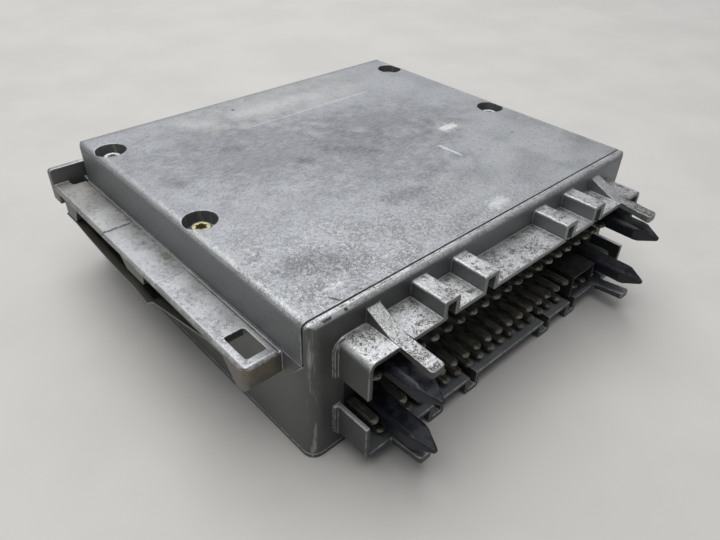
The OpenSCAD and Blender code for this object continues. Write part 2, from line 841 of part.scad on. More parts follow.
// One guide peg: a chamfered bar with a four-sided point
module guide_peg(side, bank) {
    half = [peg_w / 2, peg_h / 2];
    c = peg_chamfer;
    point_start = -peg_l + peg_point_l;
    tip_half = peg_w / 12;
    color("midnightblue") from_front() translate([side * peg_x, 0, row_z(bank, peg_dz)]) intersection() {
        along_y(-peg_l, front_t) polygon([
            [-half.x + c, -half.y], [half.x - c, -half.y], [half.x, -half.y + c], [half.x, half.y - c],
            [half.x - c, half.y], [-half.x + c, half.y], [-half.x, half.y - c], [-half.x, -half.y + c]
        ]);
        along_z(-peg_h, peg_h) polygon([
            [-half.x, front_t], [-half.x, point_start], [-tip_half, -peg_l],
            [tip_half, -peg_l], [half.x, point_start], [half.x, front_t]
        ]);
        along_x(-peg_w, peg_w) polygon([
            [front_t, -half.y], [point_start, -half.y], [-peg_l, -tip_half],
            [-peg_l, tip_half], [point_start, half.y], [front_t, half.y]
        ]);
    }
}

module guide_peg_upper_left() { guide_peg(-1, 1); }
module guide_peg_upper_right() { guide_peg(1, 1); }
module guide_peg_lower_left() { guide_peg(-1, -1); }
module guide_peg_lower_right() { guide_peg(1, -1); }

// Point at a share t of a bow between two ends, bent towards a third point
function bow_point(start, bend, end, t) =
    (1 - t) * (1 - t) * start + 2 * t * (1 - t) * bend + t * t * end;

// Middle line of a leaf spring: seat, long slope, step, lowest bend, bow and back end
bow_steps = 6;
bow_start = [spring_low_y + bow_l, spring_low_z + bow_h];
bow_end = [foot_end - foot_l, foot_z - spring_half_t];
bow_bend = [(bow_start.x + bow_end.x) / 2, bow_start.y];
function spring_line() = concat(
    [
        [spring_start, rail_low - spring_half_t],
        [spring_start + spring_seat_l, rail_low - spring_half_t],
        [spring_low_y - spring_step_l, spring_low_z + spring_step],
        [spring_low_y, spring_low_z]
    ],
    [for (k = [0 : bow_steps]) bow_point(bow_start, bow_bend, bow_end, k / bow_steps)],
    [[foot_end + 1, foot_z - spring_half_t]]
);

// Unit normal of the stretch that follows point i of a line
function stretch_normal(line, i) =
    let (step = line[i + 1] - line[i]) [-step.y, step.x] / norm(step);

// Point i of a line, moved sideways by d, with mitred bends
function side_point(line, i, d) =
    let (
        last = len(line) - 1,
        before = stretch_normal(line, max(0, i - 1)),
        after = stretch_normal(line, min(last - 1, i))
    ) line[i] + d * (before + after) / (1 + before * after);

// Strip of even thickness along a line of points
module strip(line, t) {
    last = len(line) - 1;
    upper = [for (i = [0 : last]) side_point(line, i, t / 2)];
    lower = [for (i = [last : -1 : 0]) side_point(line, i, -t / 2)];
    polygon(concat(upper, lower));
}

// Leaf spring of the right-hand rail
module leaf_spring() {
    out = half_w + rail_w - spring_inset;
    color("darkolivegreen") from_front() along_x(out - spring_w, out) strip(spring_line(), spring_t);
}

module leaf_spring_right() { leaf_spring(); }
module leaf_spring_left() { mirror([1, 0, 0]) leaf_spring(); }

// Board outline with notches round the frame's bosses
module board_outline(back, notch_y) {
    notch_r = boss_r + board_gap;
    difference() {
        translate([-board_half_w, board_front]) square([2 * board_half_w, back - board_front]);
        for (side = [-1, 1], y = notch_y) translate([side * screw_x, y]) {
            circle(notch_r);
            translate([side > 0 ? 0 : -screw_edge, -notch_r]) square([screw_edge, 2 * notch_r]);
        }
        for (side = [-1, 1], y = board_screw_y)
            translate([side * board_screw_x, y]) circle(board_screw_r + fit);
    }
}

// Holes in a board for the tails of one row of contacts
module tail_holes(columns, bend_y) {
    w = neck_w + 2 * fit;
    t = blade_t + 2 * fit;
    for (k = columns) translate([k * pin_pitch - w / 2, bend_y + blade_t / 2 - t / 2]) square([w, t]);
}

// Upper printed board
module upper_board() {
    color("darkgreen") from_front() along_z(upper_board_z, upper_board_z + board_t) difference() {
        board_outline(body_d - upper_board_back, lid_screw_y);
        tail_holes(outer_columns, bend_far());
        tail_holes(inner_columns, bend_near());
    }
}

// Lower printed board
module lower_board() {
    color("darkgreen") from_front() along_z(lower_board_z, lower_board_z + board_t) difference() {
        board_outline(inner_back - board_gap, concat(lid_screw_y, [cover_screw_front]));
        tail_holes(lower_inner_columns, bend_far());
        tail_holes(lower_outer_columns, bend_near());
    }
}

// Pan-head screws that hold a board down
module board_screws(board_z, depth) {
    color("silver") from_front() both_sides() for (y = board_screw_y) translate([board_screw_x, y, board_z]) {
        translate([0, 0, board_t]) cylinder(h = board_head_h, r = 0.9 * board_screw_d);
        translate([0, 0, -depth]) cylinder(h = depth + board_t, r = board_screw_r);
    }
}

module upper_board_screws() { board_screws(upper_board_z, lug_h - 2); }
module lower_board_screws() { board_screws(lower_board_z, lower_board_lift); }

// Flat link between the two boards, bowed a little
module ribbon_link() {
    link_w = 50;
    link_t = 0.8;
    bow = 4;
    y = body_d - board_screw_back + 8;
    middle = (lower_top + upper_board_z) / 2;
    color("lightgray") from_front() along_x(-link_w / 2, link_w / 2) polygon([
        [y, lower_top], [y + link_t, lower_top], [y + link_t - bow, middle],
        [y + link_t, upper_board_z], [y, upper_board_z], [y - bow, middle]
    ]);
}

// Chip body on two rows of legs
module dual_row_chip(low_z, w, l, h, legs) {
    leg_h = leg_pitch / 2;
    leg_in = leg_pitch / 6;
    span([-w / 2, -l / 2, low_z + leg_h], [w / 2, l / 2, low_z + leg_h + h]);
    for (side = [-1, 1], k = [0 : legs - 1])
        translate([side * (w / 2 - leg_in), (k - (legs - 1) / 2) * leg_pitch, low_z])
            span([-leg_h / 2, -leg_h / 4, 0], [leg_h / 2, leg_h / 4, leg_h + 2 * leg_in]);
}

// Square microcontroller with leads on its four sides
module microcontroller() {
    lead_count = floor((chip_side - 3) / lead_pitch);
    lead_h = 0.9;
    color("black") from_front() translate([-chip_left, body_d / 2, upper_top]) {
        translate([-chip_side / 2, -chip_side / 2, lead_h]) cube([chip_side, chip_side, chip_h]);
        for (a = [0 : 90 : 270], k = [0 : lead_count - 1]) rotate([0, 0, a])
            translate([chip_side / 2, (k - (lead_count - 1) / 2) * lead_pitch, lead_h])
                cube([1, 0.5, 2 * lead_h], center = true);
    }
}

// Socket of the program memory
socket_w = memory_w + 3.2;
socket_l = memory_l + 1;
socket_h = 4.4;
module memory_socket() {
    slot_w = 0.6 * memory_w;
    slot_end = 4;
    color("dimgray") from_front() translate([socket_right, socket_y, upper_top]) difference() {
        translate([-socket_w / 2, -socket_l / 2, 0]) cube([socket_w, socket_l, socket_h]);
        translate([-slot_w / 2, -socket_l / 2 + slot_end, 1])
            cube([slot_w, socket_l - 2 * slot_end, socket_h]);
    }
}

// Program memory standing on its socket
module program_memory() {
    color("black") from_front() translate([socket_right, socket_y, 0])
        dual_row_chip(upper_top + socket_h, memory_w, memory_l, memory_h, memory_legs);
}

// Quartz crystal in its can
module crystal() {
    can_h = 11;
    can_l = 6.4;
    can_r = 2.3;
    can_gap = 8;
    color("silver") from_front() translate([-chip_left, body_d / 2 + chip_side / 2 + can_gap, upper_top]) {
        translate([-can_l / 2, -can_r, 0]) cube([can_l, 2 * can_r, can_h]);
        for (side = [-1, 1]) translate([side * can_l / 2, 0, 0]) cylinder(h = can_h, r = can_r);
    }
}

// Smaller chips on both boards
module support_chips() {
    y = board_screw_front + support_back;
    color("black") from_front() {
        for (k = [-2 : 2]) translate([k * support_pitch, y, 0])
            dual_row_chip(lower_top, support_w, support_l, support_h, support_legs);
        for (k = [-2, -0.5, 0.5, 2]) translate([k * support_pitch, y, 0])
            dual_row_chip(upper_top, support_w, support_l, support_h, support_legs);
    }
}

// Electrolytic capacitors on the upper board
module electrolytic_capacitors() {
    color("midnightblue") from_front() for (k = [0 : 2])
        translate([cap_right, body_d / 2 + (k - 1) * (cap_d + cap_gap) + cap_back, upper_top])
        rotate_extrude() polygon([
            [0, 0], [cap_d / 2, 0], [cap_d / 2, 1.4], [cap_d / 2 - 0.5, 1.9], [cap_d / 2, 2.4],
            [cap_d / 2, cap_h - 0.6], [cap_d / 2 - 0.6, cap_h], [0, cap_h]
        ]);
}

// Places of the power transistors
transistor_middle = (transistor_count - 1) / 2;
function transistor_x() = [for (k = [0 : transistor_count - 1]) (k - transistor_middle) * transistor_pitch];

// Power transistors that give their heat to the back wall
module power_transistors() {
    tab_h = 5;
    tab_t = 1.3;
    leg_t = 0.8;
    color("black") from_front() for (x = transistor_x()) translate([x, 0, 0]) {
        span([-transistor_w / 2, clamp_y, transistor_z],
            [transistor_w / 2, inner_back, transistor_z + transistor_h]);
        span([-transistor_w / 2, inner_back - tab_t, transistor_z + transistor_h - cut],
            [transistor_w / 2, inner_back, transistor_z + transistor_h + tab_h]);
        for (k = [-1 : 1]) translate([k * leg_pitch, inner_back - transistor_t / 2, lower_top])
            translate([-leg_t / 2, -leg_t / 2, 0]) cube([leg_t, leg_t, leg_l + cut]);
    }
}

// Clamp bar that presses the transistors to the back wall
module transistor_clamp() {
    half_l = (transistor_count - 1) / 2 * transistor_pitch + transistor_w / 2;
    color("lightsteelblue") from_front() difference() {
        span([-half_l, clamp_y - clamp_t, clamp_z() - clamp_h / 2],
            [half_l, clamp_y, clamp_z() + clamp_h / 2]);
        for (x = clamp_screw_x()) translate([x, clamp_y - clamp_t - cut, clamp_z()]) rotate([-90, 0, 0])
            cylinder(h = clamp_t + 2 * cut, r = board_screw_r + fit);
    }
}

// Screws of the clamp bar
module clamp_screws() {
    color("silver") from_front() for (x = clamp_screw_x())
        translate([x, clamp_y - clamp_t, clamp_z()]) rotate([-90, 0, 0]) {
            translate([0, 0, -board_head_h]) cylinder(h = board_head_h, r = 0.9 * board_screw_d);
            cylinder(h = clamp_t + transistor_t - 0.5, r = board_screw_r);
        }
}

frame_casting();
lid();
bottom_cover();
lid_screws();
cover_screws();
pin_header();
contact_pins_upper();
contact_pins_lower();
guide_peg_upper_left();
guide_peg_upper_right();
guide_peg_lower_left();
guide_peg_lower_right();
leaf_spring_left();
leaf_spring_right();
upper_board();
lower_board();
upper_board_screws();
lower_board_screws();
ribbon_link();
microcontroller();
memory_socket();
program_memory();
crystal();
support_chips();
electrolytic_capacitors();
power_transistors();
transistor_clamp();
clamp_screws();
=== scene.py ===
"""Looks of a worn engine control unit: cast housing, contact blades, guide pegs, springs and boards."""

import logging
import math
from dataclasses import dataclass, replace
from enum import Enum
from typing import Any, Union

import bpy
from mathutils import Matrix, Vector


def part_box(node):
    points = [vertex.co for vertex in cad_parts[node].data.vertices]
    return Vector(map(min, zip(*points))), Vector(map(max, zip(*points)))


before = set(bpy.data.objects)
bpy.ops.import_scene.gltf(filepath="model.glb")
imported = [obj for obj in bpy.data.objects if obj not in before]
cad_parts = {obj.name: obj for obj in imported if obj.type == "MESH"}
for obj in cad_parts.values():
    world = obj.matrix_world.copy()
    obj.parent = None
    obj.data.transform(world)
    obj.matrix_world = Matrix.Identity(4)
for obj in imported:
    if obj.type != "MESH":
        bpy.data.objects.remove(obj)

LOG = logging.getLogger("control_unit")
MM = 0.001
IMAGE_WIDTH_PX = 720
SIDE_X = 75 * MM
FRONT_WALL_Y = -66 * MM
BACK_EDGE_Y = 66 * MM
RAIL_INNER_X = 75.2 * MM
RAIL_CLEAR_X = 76.0 * MM
BROAD_MARK_MM = 10.0
MARK_RAGGEDNESS = 2.6

Color = tuple[float, float, float]
Triple = tuple[float, float, float]
Number = Union[int, float]
Operand = Union["Value", Number]


class Value:
    """A number socket of a shader graph, on which Python operators add Math nodes."""

    def __init__(self, graph: "Graph", socket: bpy.types.NodeSocket) -> None:
        """Wraps an output socket of the graph."""
        self.graph = graph
        self.socket = socket

    def _math(self, operation: str, first: Operand, second: Operand) -> "Value":
        """Adds one Math node.

        Args:
            operation: The Math node's operation.
            first: Its first operand.
            second: Its second operand.

        Returns:
            The node's result.
        """
        return self.graph.value("ShaderNodeMath", {"operation": operation}, {0: first, 1: second})

    def __add__(self, other: Operand) -> "Value":
        """Sum of this value and another."""
        return self._math("ADD", self, other)

    def __radd__(self, other: Operand) -> "Value":
        """Sum of another value and this one."""
        return self._math("ADD", other, self)

    def __sub__(self, other: Operand) -> "Value":
        """This value less another."""
        return self._math("SUBTRACT", self, other)

    def __rsub__(self, other: Operand) -> "Value":
        """Another value less this one."""
        return self._math("SUBTRACT", other, self)

    def __mul__(self, other: Operand) -> "Value":
        """Product of this value and another."""
        return self._math("MULTIPLY", self, other)

    def __rmul__(self, other: Operand) -> "Value":
        """Product of another value and this one."""
        return self._math("MULTIPLY", other, self)

    def __truediv__(self, other: Operand) -> "Value":
        """This value over another."""
        return self._math("DIVIDE", self, other)

    def __rtruediv__(self, other: Operand) -> "Value":
        """Another value over this one."""
        return self._math("DIVIDE", other, self)

    def __pow__(self, other: Operand) -> "Value":
        """This value to a power."""
        return self._math("POWER", self, other)

    def largest(self, other: Operand) -> "Value":
        """The larger of this value and another."""
        return self._math("MAXIMUM", self, other)

    def size(self) -> "Value":
        """This value without its sign."""
        return self._math("ABSOLUTE", self, 0.0)

    def step(self, low: Operand, high: Operand) -> "Value":
        """Smooth step of this value.

        Args:
            low: Value at which the step is 0.
            high: Value at which the step is 1; it may lie under low.

        Returns:
            A value from 0 to 1.
        """
        inputs = {"Value": self, "From Min": low, "From Max": high}
        return self.graph.value("ShaderNodeMapRange", {"interpolation_type": "SMOOTHSTEP"}, inputs)


class Graph:
    """Node tree of one material."""

    def __init__(self, name: str) -> None:
        """Starts an empty material of that name."""
        self.material = bpy.data.materials.new(name)
        self.material.use_nodes = True
        self.tree = self.material.node_tree
        self.tree.nodes.clear()
        place = self.node("ShaderNodeTexCoord")
        self.place = place.outputs["Object"]
        self.normal = place.outputs["Normal"]

    def node(self, kind: str, settings: dict[str, Any] | None = None,
             inputs: dict[Any, Any] | None = None) -> bpy.types.Node:
        """Adds a node.

        Args:
            kind: The node's type.
            settings: Attributes that are set first.
            inputs: Numbers, colours, values or sockets by input name or index.

        Returns:
            The new node.
        """
        made = self.tree.nodes.new(kind)
        for key, setting in (settings or {}).items():
            setattr(made, key, setting)
        for key, given in (inputs or {}).items():
            socket = made.inputs[key]
            if isinstance(given, Value):
                self.tree.links.new(given.socket, socket)
            elif isinstance(given, bpy.types.NodeSocket):
                self.tree.links.new(given, socket)
            elif isinstance(given, tuple) and len(given) == 3 and socket.type == "RGBA":
                socket.default_value = (*given, 1.0)
            else:
                socket.default_value = given
        return made

    def value(self, kind: str, settings: dict[str, Any] | None = None,
              inputs: dict[Any, Any] | None = None, output: str | int = 0) -> Value:
        """Adds a node and wraps one of its outputs.

        Args:
            kind: The node's type.
            settings: Attributes that are set first.
            inputs: Values of its sockets.
            output: Name or index of the output.

        Returns:
            The wrapped output.
        """
        return Value(self, self.node(kind, settings, inputs).outputs[output])

    def noise(self, size: float, detail: float = 3.0, roughness: float = 0.55,
              stretch: Triple = (1.0, 1.0, 1.0)) -> Value:
        """Adds a noise texture.

        Args:
            size: Size of its blotches in metres.
            detail: Number of finer layers.
            roughness: Strength of the finer layers.
            stretch: Factors on the frequency along the axes.

        Returns:
            The noise, mostly from 0.3 to 0.7.
        """
        place = self.place
        if stretch != (1.0, 1.0, 1.0):
            place = self.node("ShaderNodeVectorMath", {"operation": "MULTIPLY"},
                              {0: self.place, 1: stretch}).outputs[0]
        return self.value("ShaderNodeTexNoise", None, {
            "Vector": place, "Scale": 1.0 / size, "Detail": detail, "Roughness": roughness})

    def cells(self, size: float) -> Value:
        """Adds a cell texture.

        Args:
            size: Distance between cells in metres.

        Returns:
            Distance from the nearest cell's middle, as a share of the size.
        """
        inputs = {"Vector": self.place, "Scale": 1.0 / size}
        return self.value("ShaderNodeTexVoronoi", None, inputs, "Distance")

    def axes(self) -> tuple[Value, Value, Value]:
        """Returns the place along X, Y and Z in metres."""
        split = self.node("ShaderNodeSeparateXYZ", None, {0: self.place})
        return tuple(Value(self, split.outputs[i]) for i in range(3))

    def facing(self) -> tuple[Value, Value, Value]:
        """Returns the parts of the surface normal along X, Y and Z."""
        split = self.node("ShaderNodeSeparateXYZ", None, {0: self.normal})
        return tuple(Value(self, split.outputs[i]) for i in range(3))

    def hollows(self, reach: float) -> Value:
        """Adds the share of near surroundings that is blocked.

        Args:
            reach: Distance in metres that is looked at.

        Returns:
            0 on open faces, towards 1 in corners.
        """
        open_share = self.value("ShaderNodeAmbientOcclusion", {"samples": 8}, {"Distance": reach}, "AO")
        return 1.0 - open_share

    def blend(self, share: Value, under: Any, over: Any) -> bpy.types.NodeSocket:
        """Mixes two colours.

        Args:
            share: Share of the second colour.
            under: First colour or colour socket.
            over: Second colour or colour socket.

        Returns:
            The mixed colour.
        """
        mixed = self.node("ShaderNodeMix", {"data_type": "RGBA"}, {0: share, 6: under, 7: over})
        return mixed.outputs[2]

    def bump(self, height: Value, depth: float, strength: float = 1.0) -> bpy.types.NodeSocket:
        """Adds a bump from a height.

        Args:
            height: Height, mostly from 0 to 1.
            depth: Depth in metres of a height of 1.
            strength: Share of the effect.

        Returns:
            The changed normal.
        """
        made = self.node("ShaderNodeBump", None,
                         {"Height": height, "Distance": depth, "Strength": strength})
        return made.outputs[0]

    def finish(self, inputs: dict[str, Any]) -> bpy.types.Material:
        """Closes the graph with one surface shader.

        Args:
            inputs: Values of the shader's sockets.

        Returns:
            The finished material.
        """
        shader = self.node("ShaderNodeBsdfPrincipled", None, inputs)
        self.node("ShaderNodeOutputMaterial", None, {"Surface": shader.outputs[0]})
        return self.material


@dataclass(frozen=True)
class Mark:
    """A mark on an upper face, in millimetres: a spot, or a stroke where its ends differ."""

    start: tuple[float, float]
    end: tuple[float, float]
    radius: float
    strength: float

    def mask(self, graph: Graph, ragged: Value) -> Value:
        """Builds the mark's mask, as seen from above.

        Args:
            graph: Graph that the nodes go into.
            ragged: Noise that breaks the mark's outline.

        Returns:
            0 outside the mark, up to its strength inside.
        """
        x, y, _ = graph.axes()
        dx = (self.end[0] - self.start[0]) * MM
        dy = (self.end[1] - self.start[1]) * MM
        from_x = x - self.start[0] * MM
        from_y = y - self.start[1] * MM
        length = dx * dx + dy * dy
        if length > 0.0:
            along = ((from_x * dx + from_y * dy) / length).largest(0.0)
            along = 1.0 - (1.0 - along).largest(0.0)
            from_x = from_x - along * dx
            from_y = from_y - along * dy
        distance = (from_x * from_x + from_y * from_y) ** 0.5
        edge = distance / (self.radius * MM) + (ragged - 0.5) * MARK_RAGGEDNESS
        return edge.step(1.05, 0.1) * self.strength


class CastPart(Enum):
    """Castings, which differ in wear and dirt."""

    LID = "lid"
    FRAME = "frame"
    COVER = "cover"


@dataclass(frozen=True)
class CastAluminium:
    """As-cast aluminium, pitted, stained and rubbed bright at its edges, with painted light and shade on
    its upright faces.
    """

    part: CastPart
    plain: Color
    stained: Color
    nicks_and_step_shade: tuple[Mark, ...] = ()
    edge: bool = False
    # upright is a painted shade for faces that stand upright; painted_flank_light is painted light on the
    # flanks and the back.
    upright: Color = (0.118, 0.121, 0.117)
    painted_flank_light: Color = (0.200, 0.205, 0.200)
    rubbed: Color = (0.740, 0.742, 0.740)
    # pit_and_painted_shade colours the pits, and also the painted shade in creases and along the rail pads'
    # steps.
    pit_and_painted_shade: Color = (0.045, 0.039, 0.031)
    stain: Color = (0.235, 0.200, 0.145)
    shade: Color = (0.095, 0.104, 0.118)
    worn: Color = (0.560, 0.570, 0.590)
    painted_ledge_light: Color = (0.310, 0.325, 0.338)
    wrinkle: Color = (0.130, 0.134, 0.146)
    dirt: Color = (0.085, 0.068, 0.047)
    # smudge also colours the painted shade along the lid's back edge.
    smudge: Color = (0.135, 0.137, 0.150)
    scuff: Color = (0.800, 0.795, 0.775)
    film: Color = (0.520, 0.505, 0.460)
    veil: Color = (0.620, 0.622, 0.618)
    scuffs: tuple[Mark, ...] = (
        Mark((37.5, -10.4), (42.0, -10.8), 3.4, 0.85),
        Mark((24.0, -20.0), (24.4, -29.5), 0.9, 0.65),
        Mark((5.5, -59.0), (9.5, -58.8), 3.6, 0.60),
        Mark((-21.0, 37.0), (39.5, 36.6), 0.50, 0.40),
        Mark((-66.9, -29.4), (-66.8, -32.5), 1.0, 0.35),
        Mark((-61.6, -57.6), (-56.7, -57.5), 1.2, 0.40),
    )
    veils: tuple[Mark, ...] = (
        Mark((-37.3, 54.8), (-32.0, 50.5), 6.0, 0.50),
        Mark((-16.0, 50.0), (4.6, 48.2), 7.0, 0.55),
        Mark((11.5, 49.7), (18.8, 46.8), 6.0, 0.45),
    )
    smudges: tuple[Mark, ...] = (
        Mark((-38.0, 24.0), (4.0, -8.0), 40.0, 0.52),
        Mark((10.0, 15.0), (40.0, 4.0), 24.0, 0.42),
        Mark((-22.5, 2.6), (-19.5, 1.0), 3.6, 0.75),
        Mark((-9.3, 4.5), (2.6, -7.5), 4.2, 0.65),
        Mark((-38.0, 26.5), (-33.0, 25.0), 4.2, 0.60),
        Mark((-17.6, -36.0), (-5.0, -37.6), 5.0, 0.50),
        Mark((-62.0, -45.0), (-52.0, -49.0), 7.5, 0.45),
        Mark((-64.5, 16.5), (-61.5, 14.0), 4.5, 0.50),
    )

    def build(self) -> bpy.types.Material:
        """Returns the finished material."""
        graph = Graph(f"cast_aluminium_{self.part.value}{'_edge' if self.edge else ''}")
        _, _, facing_z = graph.facing()
        up = facing_z.step(0.55, 0.95)
        coarse = self._coarse(graph, up)
        grain = graph.noise(0.55 * MM, 2.0, 0.6)
        speck = graph.noise(1.3 * MM, 3.0, 0.68)
        blotch = graph.noise(16 * MM, 4.0, 0.6)
        color = graph.blend(blotch.step(0.36, 0.62), self.stained, self.plain)
        # Painted shade on upright faces, with painted light on the flanks and at the back.
        color = graph.blend(facing_z.step(0.88, 0.20), color, self._painted_side_shading(graph))
        flakes = (0.6 * grain + 0.4 * (1.0 - speck)).step(0.47, 0.62) * (0.10 + 0.54 * coarse)
        color = graph.blend(flakes * facing_z.step(0.0, 0.8), color, self.rubbed)
        if self.part is CastPart.LID:
            color, pits = self._age_lid(graph, color, coarse, blotch, up)
        else:
            color, pits = self._age_frame(graph, color, coarse, speck, up)
        wear = self._wear_and_edge_shade(graph, facing_z, speck)
        color = graph.blend(wear, color, self.rubbed)
        color = graph.blend(self._dirt(graph, up, speck), color, self.dirt)
        # Painted shade: creases and tight corners within 1.2 mm are darkened towards the pit colour.
        crease_shade = graph.hollows(1.2 * MM).step(0.25, 0.65)
        color = graph.blend(crease_shade * 0.55, color, self.pit_and_painted_shade)
        # Nicks, and painted shade lines along the rail pads' steps, in the pit colour.
        for dark_mark in self.nicks_and_step_shade:
            color = graph.blend(dark_mark.mask(graph, speck) * facing_z.step(0.45, 0.75), color, self.pit_and_painted_shade)
        rough = 0.50 + 0.18 * (blotch - 0.5) - 0.12 * wear + 0.12 * pits
        cells = graph.cells(1.15 * MM)
        height = grain * (0.30 + 0.70 * coarse) + cells * 0.6 * coarse - pits * 1.2
        inputs = {
            "Base Color": color,
            "Metallic": 0.7,
            "Roughness": rough,
            "Normal": graph.bump(height, 0.12 * MM, 0.75),
        }
        return graph.finish(inputs)

    def _painted_side_shading(self, graph: Graph) -> bpy.types.NodeSocket:
        """Builds the colour of upright faces: a painted shade, with painted light on the flanks and at the
        back.

        Args:
            graph: Graph that the nodes go into.

        Returns:
            The colour.
        """
        facing_x, _, _ = graph.facing()
        _, y, _ = graph.axes()
        # Painted light: the flanks and the back are painted paler, standing in for the light that falls on
        # them.
        painted_flank_light = facing_x.size().step(0.45, 0.90) * y.step(-72 * MM, -50 * MM)
        at_back = y.step(50 * MM, 58 * MM)
        return graph.blend(painted_flank_light.largest(at_back), self.upright, self.painted_flank_light)

    def _age_lid(self, graph: Graph, color: Any, coarse: Value,
                 blotch: Value, up: Value) -> tuple[Any, Value]:
        """Rubs the lid's right-hand part, wrinkles its skin and lays its marks and the painted shade on its
        back edge.

        Args:
            graph: Graph that the nodes go into.
            color: Colour of the new skin.
            coarse: Share of coarse skin.
            blotch: Broad noise.
            up: Share that faces up.

        Returns:
            The aged colour and the share of pits.
        """
        x, y, _ = graph.axes()
        right = x.step(0.0, 55 * MM) * y.step(-8 * MM, -42 * MM)
        color = graph.blend(right * blotch.step(0.30, 0.6) * up * 0.42, color, self.worn)
        dots = graph.noise(1.0 * MM, 2.0, 0.6).step(0.55, 0.66)
        fine = graph.noise(0.55 * MM, 3.0, 0.68).step(0.57, 0.67)
        pits = self._wrinkles(graph, coarse).largest(fine * 0.60).largest(dots * 0.42)
        color = graph.blend(pits * 0.76, color, self.wrinkle)
        return self._add_marks(graph, color, up), pits

    def _age_frame(self, graph: Graph, color: Any, coarse: Value,
                   speck: Value, up: Value) -> tuple[Any, Value]:
        """Stains the frame or the cover, paints light on its ledge and shade on its hood's lower half, and
        pits its coarse skin, most of all the guide fingers.

        Args:
            graph: Graph that the nodes go into.
            color: Colour of the new skin.
            coarse: Share of coarse skin.
            speck: Noise that gathers the pits.
            up: Share that faces up.

        Returns:
            The aged colour and the share of pits.
        """
        _, y, _ = graph.axes()
        brown = graph.noise(5 * MM, 4.0, 0.65)
        dense = (brown - 0.5) * 0.30 + y.step(-76 * MM, -84 * MM) * 0.055
        grit = graph.noise(0.42 * MM, 3.0, 0.7)
        pits = (0.6 * grit + 0.4 * speck + dense).step(0.530, 0.622) * (0.07 + 0.93 * coarse)
        color = self._add_stains_and_painted_light(graph, color, coarse, brown, up)
        return graph.blend(pits * 0.76, color, self.pit_and_painted_shade), pits

    def _coarse(self, graph: Graph, up: Value) -> Value:
        """Builds the share of coarse, pitted skin.

        Args:
            graph: Graph that the nodes go into.
            up: Share that faces up.

        Returns:
            0 on smooth skin, 1 on the roughest.
        """
        x, y, z = graph.axes()
        if self.part is not CastPart.LID:
            hood = y.step(-60 * MM, FRONT_WALL_Y) * z.step(16 * MM, 26 * MM)
            return 0.15 + 0.85 * up * hood + 0.22 * self._outboard(graph) * up
        across = (x + SIDE_X) / (125 * MM)
        back = (y - FRONT_WALL_Y) / (62 * MM)
        spread = (across * across + back * back) ** 0.5 + (graph.noise(22 * MM) - 0.5) * 0.7
        return (0.16 + 0.84 * spread.step(1.15, 0.25)) * (0.35 + 0.65 * up)

    @staticmethod
    def _outboard(graph: Graph) -> Value:
        """Returns the share outside the housing's sides, on the rails."""
        x, _, _ = graph.axes()
        return x.size().step(RAIL_INNER_X, RAIL_CLEAR_X)

    @staticmethod
    def _wrinkles(graph: Graph, coarse: Value) -> Value:
        """Builds the fine wrinkles of the lid's coarse skin.

        Args:
            graph: Graph that the nodes go into.
            coarse: Share of coarse skin.

        Returns:
            0 on even skin, towards 1 in the wrinkles.
        """
        folds = (graph.noise(2.1 * MM, 3.0, 0.62) - 0.5).size().step(0.060, 0.005)
        dots = graph.noise(0.9 * MM, 2.0, 0.6).step(0.60, 0.68)
        patches = graph.noise(9 * MM, 3.0, 0.6).step(0.38, 0.60)
        return (folds * patches * 0.75).largest(dots * 0.7) * coarse

    def _wear_and_edge_shade(self, graph: Graph, facing_z: Value, speck: Value) -> Value:
        """Builds the share that is rubbed bright; on edge faces it is dimmed where they stand upright, as
        painted shade.

        Args:
            graph: Graph that the nodes go into.
            facing_z: Upward part of the normal.
            speck: Noise that breaks the wear.

        Returns:
            0 on dull skin, towards 1 on rubbed edges.
        """
        facing_x, facing_y, _ = graph.facing()
        x, y, _ = graph.axes()
        clumps = graph.noise(5 * MM)
        broken = (speck * 0.65 + clumps * 0.35).step(0.43, 0.56)
        if self.edge:
            # On edge faces the wear is dimmed where the edge stands upright, as painted shade.
            return (0.08 + 0.52 * broken) * (0.45 + 0.55 * facing_z.step(0.0, 0.5))
        forward = y.step(75 * MM, FRONT_WALL_Y)
        rounded = facing_z.step(0.45, 0.75) * facing_z.step(0.995, 0.93) * broken * forward
        streaks = graph.noise(2.5 * MM, 3.0, 0.6, (1.0, 1.0, 0.12)).step(0.50, 0.62)
        upright = (facing_x * facing_y).size().step(0.30, 0.48) * streaks
        wear = rounded * 0.75 + upright * 0.35
        if self.part is CastPart.LID:
            rim = x.size().step(69.5 * MM, 74.0 * MM) * facing_z.step(0.35, 0.60)
            grit = graph.noise(0.6 * MM, 3.0, 0.7)
            ragged = (speck - 0.5) * 1.8 + (grit - 0.5) * 2.0 + (clumps - 0.5) * 1.2
            blots = (rim + ragged).step(0.62, 0.98)
            wear = wear.largest(blots * rim * (0.28 + 0.32 * forward))
        return wear

    def _dirt(self, graph: Graph, up: Value, speck: Value) -> Value:
        """Builds the share covered by brown dirt in corners.

        Args:
            graph: Graph that the nodes go into.
            up: Share that faces up.
            speck: Noise that breaks the dirt.

        Returns:
            0 on clean faces, towards 1 in dirty corners.
        """
        corner = graph.hollows(5 * MM)
        loose = (corner + (speck - 0.5) * 0.9 + (graph.noise(7 * MM) - 0.5) * 0.8).step(0.42, 0.82)
        share = 0.4 if self.part is CastPart.LID else 1.0
        return loose * (0.35 + 0.4 * up) * share

    def _add_stains_and_painted_light(self, graph: Graph, color: Any, coarse: Value, brown: Value, up: Value) -> Any:
        """Stains the rails, their feet and the hood, paints light on the ledge and paints shade on the
        hood's lower half.

        Args:
            graph: Graph that the nodes go into.
            color: Colour under the stains.
            coarse: Share of coarse skin.
            brown: Noise of the stains.
            up: Share that faces up.

        Returns:
            The stained colour.
        """
        x, y, z = graph.axes()
        outboard = self._outboard(graph)
        rails = outboard * up
        color = graph.blend(rails * y.step(15 * MM, 60 * MM) * 0.40, color, self.stain)
